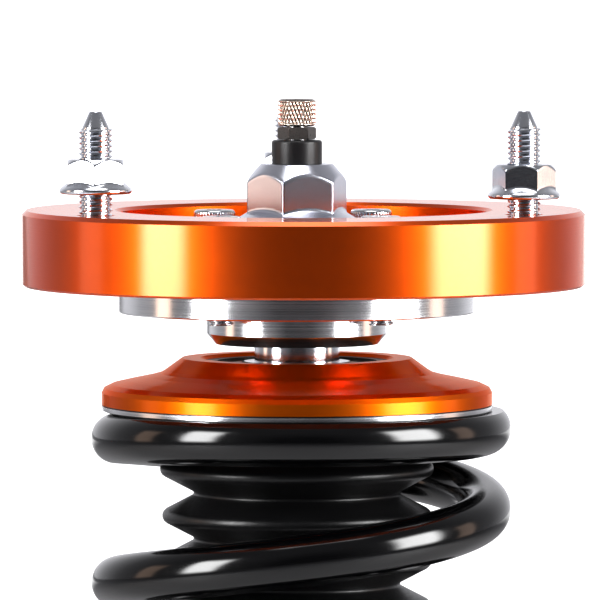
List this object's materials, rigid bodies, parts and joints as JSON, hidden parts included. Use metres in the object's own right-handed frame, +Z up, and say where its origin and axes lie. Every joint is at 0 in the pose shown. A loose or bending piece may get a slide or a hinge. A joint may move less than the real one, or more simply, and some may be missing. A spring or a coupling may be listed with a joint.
{
  "type": "coilover strut",
  "caption": "Coilover suspension strut with a slotted camber plate, spherical top bearing, coil spring over a damper with dust boot, threaded perch and clevis knuckle bracket.",
  "frame": {"origin": "centre of the mount ring's top face, on the axis of the stud circle", "axes": "+Z up along the strut towards the studs, +X along the camber slots towards the knuckle bracket, +Y completes the right-handed frame"},
  "size_m": [0.134, 0.134, 0.5733],
  "materials": {
    "orange_anodised": "satin anodised",
    "polished_aluminium": "turned and polished",
    "bright_zinc": "bright zinc plate",
    "bearing_steel": "ground and polished",
    "hard_chrome": "hard chrome, polished",
    "spring_steel": "plain",
    "black_oxide": "satin black",
    "nickel_bronze": "knurled, bright",
    "stainless_pin": "drawn",
    "brass_part": "plain",
    "black_spring_paint": "gloss powder coat",
    "boot_rubber": "matt",
    "liner_plastic": "matt",
    "bump_foam": "matt cellular foam",
    "zinc_tube": "threaded, bright zinc plate",
    "black_bracket_paint": "semi-gloss black paint"
  },
  "bodies": {
    "top_mount": {"mount_ring": "orange_anodised", "mount_studs": "bright_zinc", "stud_nuts": "bright_zinc"},
    "bearing_carrier": {"bearing_housing": "polished_aluminium", "bearing_race": "bearing_steel", "race_circlip": "spring_steel", "carrier_bolts": "bright_zinc", "carrier_washers": "bright_zinc"},
    "bearing_liner": {"bearing_liner": "liner_plastic"},
    "strut_rod": {"bearing_ball": "bearing_steel", "upper_spacer": "bright_zinc", "lower_spacer": "bright_zinc", "top_nut": "polished_aluminium", "rod_collar": "black_oxide", "piston_rod": "hard_chrome", "bearing_inner_ring": "bearing_steel", "bump_washer": "bright_zinc", "bump_stop": "bump_foam", "rebound_spacer": "bright_zinc", "piston": "polished_aluminium", "piston_band": "liner_plastic", "valve_shims": "spring_steel", "piston_nut": "bright_zinc"},
    "adjuster": {"adjuster_knob": "nickel_bronze", "adjuster_hex": "black_oxide", "adjuster_pin": "stainless_pin"},
    "needle": {"metering_needle": "stainless_pin"},
    "ball_set": {"bearing_balls": "bearing_steel", "bearing_cage": "brass_part"},
    "upper_seat": {"upper_spring_seat": "orange_anodised", "bearing_outer_ring": "bearing_steel", "bearing_seals": "boot_rubber", "seat_retaining_ring": "black_oxide", "spring_isolators": "boot_rubber", "upper_washer": "bright_zinc", "main_spring": "black_spring_paint", "dust_boot": "boot_rubber"},
    "damper_body": {"damper_tube": "zinc_tube", "gland_cap": "black_oxide", "rod_wiper": "boot_rubber", "rod_seal": "boot_rubber", "rod_guide": "polished_aluminium", "guide_bush": "liner_plastic", "tube_end_cap": "bright_zinc", "gas_valve": "brass_part"},
    "gas_piston": {"floating_piston": "polished_aluminium", "piston_o_ring": "boot_rubber"},
    "perch_slider": {"lower_washer": "bright_zinc"},
    "perch": {"spring_perch": "orange_anodised", "perch_lock_collar": "black_oxide"},
    "lower_bracket": {"bracket_sleeve": "black_bracket_paint", "knuckle_bracket": "black_bracket_paint", "drop_link_tab": "black_bracket_paint", "brake_line_tab": "black_bracket_paint", "bracket_lock_collar": "black_oxide"}
  },
  "joints": [
    {"name": "camber_slide", "type": "slide", "parent": "top_mount", "child": "bearing_carrier", "axis": [1, 0, 0], "range_m": [-0.0064, 0.0096]},
    {"name": "tilt_fore_aft", "type": "hinge", "parent": "bearing_carrier", "child": "bearing_liner", "pos_m": [-0.0016, 0, -0.0246], "axis": [1, 0, 0], "range_deg": [-5, 5]},
    {"name": "tilt_side", "type": "hinge", "parent": "bearing_liner", "child": "strut_rod", "pos_m": [-0.0016, 0, -0.0246], "axis": [0, 1, 0], "range_deg": [-5, 5]},
    {"name": "adjuster_turn", "type": "hinge", "parent": "strut_rod", "child": "adjuster", "pos_m": [-0.0016, 0, 0.02], "axis": [0, 0, 1], "range_deg": [-360, 360]},
    {"name": "needle_travel", "type": "slide", "parent": "strut_rod", "child": "needle", "axis": [0, 0, 1], "range_m": [-0.0008, 0.0008]},
    {"name": "steer_bearing", "type": "hinge", "parent": "strut_rod", "child": "upper_seat", "pos_m": [-0.0016, 0, -0.0428], "axis": [0, 0, 1], "continuous": true},
    {"name": "ball_set_turn", "type": "hinge", "parent": "strut_rod", "child": "ball_set", "pos_m": [-0.0016, 0, -0.0428], "axis": [0, 0, 1], "continuous": true},
    {"name": "damper_stroke", "type": "slide", "parent": "upper_seat", "child": "damper_body", "axis": [0, 0, 1], "range_m": [0, 0.09], "stiffness_N_per_m": 60000, "deforming": ["main_spring", "dust_boot"]},
    {"name": "gas_piston_travel", "type": "slide", "parent": "damper_body", "child": "gas_piston", "axis": [0, 0, 1], "range_m": [-0.0171, 0]},
    {"name": "perch_travel", "type": "slide", "parent": "damper_body", "child": "perch_slider", "axis": [0, 0, 1], "range_m": [-0.0121, 0]},
    {"name": "perch_turn", "type": "hinge", "parent": "perch_slider", "child": "perch", "pos_m": [-0.0016, 0, -0.24], "axis": [0, 0, 1], "range_deg": [-2160, 0]},
    {"name": "bracket_travel", "type": "slide", "parent": "damper_body", "child": "lower_bracket", "axis": [0, 0, 1], "range_m": [-0.015, 0.02]}
  ],
  "couplings": [
    {"joint": "needle_travel", "follows": "adjuster_turn", "m_per_rad": 0.00012732},
    {"joint": "ball_set_turn", "follows": "steer_bearing", "ratio": 0.6024},
    {"joint": "gas_piston_travel", "follows": "damper_stroke", "ratio": -0.18904},
    {"joint": "perch_travel", "follows": "perch_turn", "m_per_rad": 0.00031831}
  ]
}
